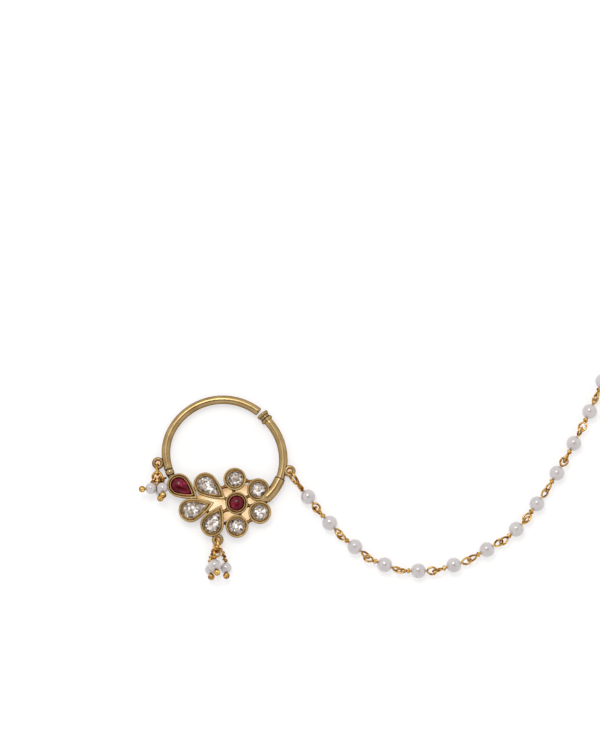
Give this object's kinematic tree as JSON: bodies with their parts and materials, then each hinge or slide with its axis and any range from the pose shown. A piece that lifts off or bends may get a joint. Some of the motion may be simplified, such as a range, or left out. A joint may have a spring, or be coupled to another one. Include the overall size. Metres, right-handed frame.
{
  "type": "nose ring",
  "caption": "Bridal hoop nose ring: sprung hoop with a press knob, flower of bezel-set round and pear stones, two clusters of pearl drops and a pearl hair chain with a hook.",
  "frame": {"origin": "on the flat back of the centre cup, under the middle of the round ruby", "axes": "+Z out of the flower's front (up from the table it lies on), +Y from the flower towards the top of the hoop, +X towards the side where the hair chain leaves"},
  "size_m": [0.1319, 0.0659, 0.0063],
  "materials": {
    "gold": "satin antique gold plate",
    "wire_gold": "polished gold plate",
    "pearl": "pearl lustre",
    "ruby": "polished, foil backed",
    "clear_stone": "faceted, foil backed"
  },
  "bodies": {
    "nose_ring": {"flower_frame": "gold", "hoop_left_tube": "gold", "hoop_right_tube": "gold", "ruby_centre": "ruby", "ruby_pear": "ruby", "clear_round_top": "clear_stone", "clear_round_upper_right": "clear_stone", "clear_round_lower_right": "clear_stone", "clear_round_bottom": "clear_stone", "clear_pear_top": "clear_stone", "clear_pear_left": "clear_stone", "clear_pear_bottom": "clear_stone", "chain_pearl_01": "pearl", "chain_pearl_02": "pearl", "chain_pearl_03": "pearl", "chain_pearl_04": "pearl", "chain_pearl_05": "pearl", "chain_pearl_06": "pearl", "chain_pearl_07": "pearl", "chain_pearl_08": "pearl", "chain_pearl_09": "pearl", "chain_pearl_10": "pearl", "chain_pearl_11": "pearl", "chain_pearl_12": "pearl", "chain_pearl_13": "pearl", "drop_pearl_left_a": "pearl", "drop_pearl_left_b": "pearl", "drop_pearl_left_c": "pearl", "drop_pearl_bottom_a": "pearl", "drop_pearl_bottom_b": "pearl", "drop_pearl_bottom_c": "pearl", "chain_wire_01": "wire_gold", "chain_wire_02": "wire_gold", "chain_wire_03": "wire_gold", "chain_wire_04": "wire_gold", "chain_wire_05": "wire_gold", "chain_wire_06": "wire_gold", "chain_wire_07": "wire_gold", "chain_wire_08": "wire_gold", "chain_wire_09": "wire_gold", "chain_wire_10": "wire_gold", "chain_wire_11": "wire_gold", "chain_wire_12": "wire_gold", "chain_wire_13": "wire_gold", "hair_hook": "wire_gold", "left_link": "wire_gold", "left_ring": "wire_gold", "bottom_link": "wire_gold", "drop_wire_left_a": "wire_gold", "drop_wire_left_b": "wire_gold", "drop_wire_left_c": "wire_gold", "drop_wire_bottom_a": "wire_gold", "drop_wire_bottom_b": "wire_gold", "drop_wire_bottom_c": "wire_gold"},
    "press_knob": {"press_knob": "gold"}
  },
  "joints": [
    {"name": "press_knob_slide", "type": "slide", "parent": "nose_ring", "child": "press_knob", "axis": [0.6361, -0.7716, 0], "range_m": [0, 0.0014], "stiffness_N_per_m": 300, "springref_m": -0.0015}
  ]
}
